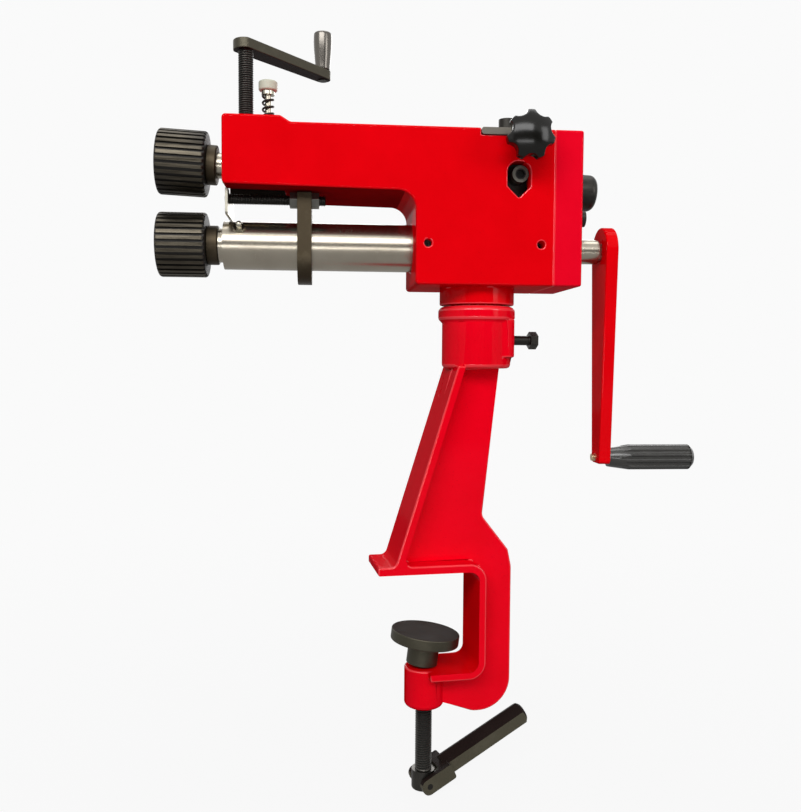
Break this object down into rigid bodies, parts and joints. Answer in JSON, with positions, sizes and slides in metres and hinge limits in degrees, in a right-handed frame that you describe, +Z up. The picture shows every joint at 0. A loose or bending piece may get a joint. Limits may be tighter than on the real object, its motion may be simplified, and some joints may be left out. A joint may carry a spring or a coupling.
{
  "type": "bench bead roller",
  "caption": "Hand cranked bead roller: two geared shafts with ribbed rolls in a swivelling red head, on a bench clamp stand.",
  "frame": {"origin": "on the underside of the bench jaw, where the clamp screw's axis meets it", "axes": "+X along the shafts towards the crank, +Y to the back, +Z up"},
  "size_m": [0.4428, 0.1418, 0.6483],
  "materials": {
    "red_paint": "gloss red enamel on cast iron",
    "black_oxide": "black oxide steel",
    "ground_steel": "ground bare steel",
    "bronze": "turned bronze",
    "black_plastic": "gloss black moulding",
    "cream_plastic": "cream cap"
  },
  "bodies": {
    "stand": {"stand": "red_paint"},
    "lock_bolt": {"swivel_lock_bolt": "black_oxide"},
    "clamp_ball": {"clamp_ball_stud": "ground_steel"},
    "clamp_screw": {"clamp_screw": "black_oxide"},
    "clamp_pad": {"clamp_pad": "black_oxide"},
    "toggle": {"toggle_handle": "black_oxide", "toggle_pin": "ground_steel"},
    "head": {"head_casting": "red_paint", "rear_cover": "red_paint", "rear_cover_screws": "black_oxide", "sleeve": "ground_steel", "sleeve_bush": "bronze", "rear_shaft_bush": "bronze", "cover_bush": "bronze", "grease_nipple": "bronze", "set_screws": "black_oxide", "lock_plate": "ground_steel", "lock_plate_screw": "black_oxide", "lift_spring": "ground_steel"},
    "lower_shaft": {"lower_shaft": "ground_steel", "lower_gear": "ground_steel", "lower_gear_key": "ground_steel", "lower_roll": "black_oxide", "lower_roll_key": "ground_steel", "lower_roll_bolt": "black_oxide", "lower_collar": "black_oxide", "crank_arm": "red_paint", "grip_bolt": "ground_steel"},
    "grip": {"crank_grip": "black_plastic"},
    "upper_carrier": {"front_block": "black_oxide", "front_block_bush": "bronze", "rear_block": "black_oxide", "rear_block_bush": "bronze", "rocker_pins": "ground_steel", "window_screw": "black_oxide", "lift_bolt": "ground_steel", "lift_cap": "cream_plastic", "lift_washer": "ground_steel"},
    "upper_shaft": {"upper_shaft": "ground_steel", "upper_gear": "ground_steel", "upper_gear_key": "ground_steel", "upper_roll": "black_oxide", "upper_roll_key": "ground_steel", "upper_roll_bolt": "black_oxide", "upper_collar": "black_oxide", "rear_knob": "black_oxide"},
    "pressure_button": {"pressure_button": "ground_steel"},
    "pressure_screw": {"pressure_screw": "black_oxide", "small_crank": "black_oxide", "spinner_pin": "ground_steel"},
    "spinner": {"spinner": "black_oxide"},
    "star_knob": {"star_knob": "black_plastic", "star_knob_stud": "ground_steel"},
    "gauge": {"gauge_bracket": "black_oxide", "gauge_nuts": "black_oxide"},
    "fence": {"fence_plate": "ground_steel", "gauge_rod": "black_oxide"}
  },
  "joints": [
    {"name": "head_swivel", "type": "hinge", "parent": "stand", "child": "head", "pos_m": [0.04177, 0.00439, 0.202], "axis": [0, 0, 1], "continuous": true},
    {"name": "lock_bolt_turn", "type": "hinge", "parent": "stand", "child": "lock_bolt", "pos_m": [0.07956, 0.00836, 0.1883], "axis": [0.9945, 0.1045, 0], "range_deg": [0, 180]},
    {"name": "clamp_feed", "type": "slide", "parent": "stand", "child": "clamp_ball", "axis": [0, 0, 1], "range_m": [0, 0.014]},
    {"name": "clamp_turn", "type": "hinge", "parent": "clamp_ball", "child": "clamp_screw", "pos_m": [0, 0, -0.12], "axis": [0, 0, 1], "range_deg": [0, 2520]},
    {"name": "pad_tilt", "type": "hinge", "parent": "clamp_ball", "child": "clamp_pad", "pos_m": [0, 0, -0.064], "axis": [-0.1045, 0.9945, 0], "range_deg": [-14, 0]},
    {"name": "toggle_fold", "type": "hinge", "parent": "clamp_screw", "child": "toggle", "pos_m": [0, 0, -0.181], "axis": [0.309, -0.9511, 0], "range_deg": [-114, 4]},
    {"name": "crank_turn", "type": "hinge", "parent": "head", "child": "lower_shaft", "pos_m": [0.04177, 0.00439, 0.262], "axis": [1, 0, 0], "continuous": true},
    {"name": "grip_spin", "type": "hinge", "parent": "lower_shaft", "child": "grip", "pos_m": [0.19177, 0.00439, 0.0905], "axis": [1, 0, 0], "continuous": true},
    {"name": "upper_tilt", "type": "hinge", "parent": "head", "child": "upper_carrier", "pos_m": [0.08577, 0.00439, 0.3126], "axis": [0, 1, 0], "range_deg": [-2.65, 0], "deforming": ["lift_spring"]},
    {"name": "upper_spin", "type": "hinge", "parent": "upper_carrier", "child": "upper_shaft", "pos_m": [0.08577, 0.00439, 0.3126], "axis": [0.9988, 0, -0.0489], "continuous": true},
    {"name": "pressure_feed", "type": "slide", "parent": "head", "child": "pressure_button", "axis": [0, 0, -1], "range_m": [0, 0.01071]},
    {"name": "pressure_turn", "type": "hinge", "parent": "pressure_button", "child": "pressure_screw", "pos_m": [-0.14563, 0.00439, 0.382], "axis": [0, 0, 1], "range_deg": [-2203.52, 0]},
    {"name": "spinner_spin", "type": "hinge", "parent": "pressure_screw", "child": "spinner", "pos_m": [-0.08506, 0.06822, 0.427], "axis": [0, 0, 1], "continuous": true},
    {"name": "star_knob_turn", "type": "hinge", "parent": "head", "child": "star_knob", "pos_m": [0.07057, -0.04561, 0.3405], "axis": [0, 1, 0], "range_deg": [0, 360]},
    {"name": "bracket_slide", "type": "slide", "parent": "head", "child": "gauge", "axis": [1, 0, 0], "range_m": [0, 0.034]},
    {"name": "fence_slide", "type": "slide", "parent": "gauge", "child": "fence", "axis": [1, 0, 0], "range_m": [0, 0.02]}
  ],
  "couplings": [
    {"joint": "upper_spin", "follows": "crank_turn", "ratio": -1},
    {"joint": "pressure_feed", "follows": "pressure_turn", "m_per_rad": -0.00027852},
    {"joint": "upper_tilt", "follows": "pressure_turn", "ratio": 0.0012026},
    {"joint": "clamp_feed", "follows": "clamp_turn", "m_per_rad": 0.00031831}
  ]
}
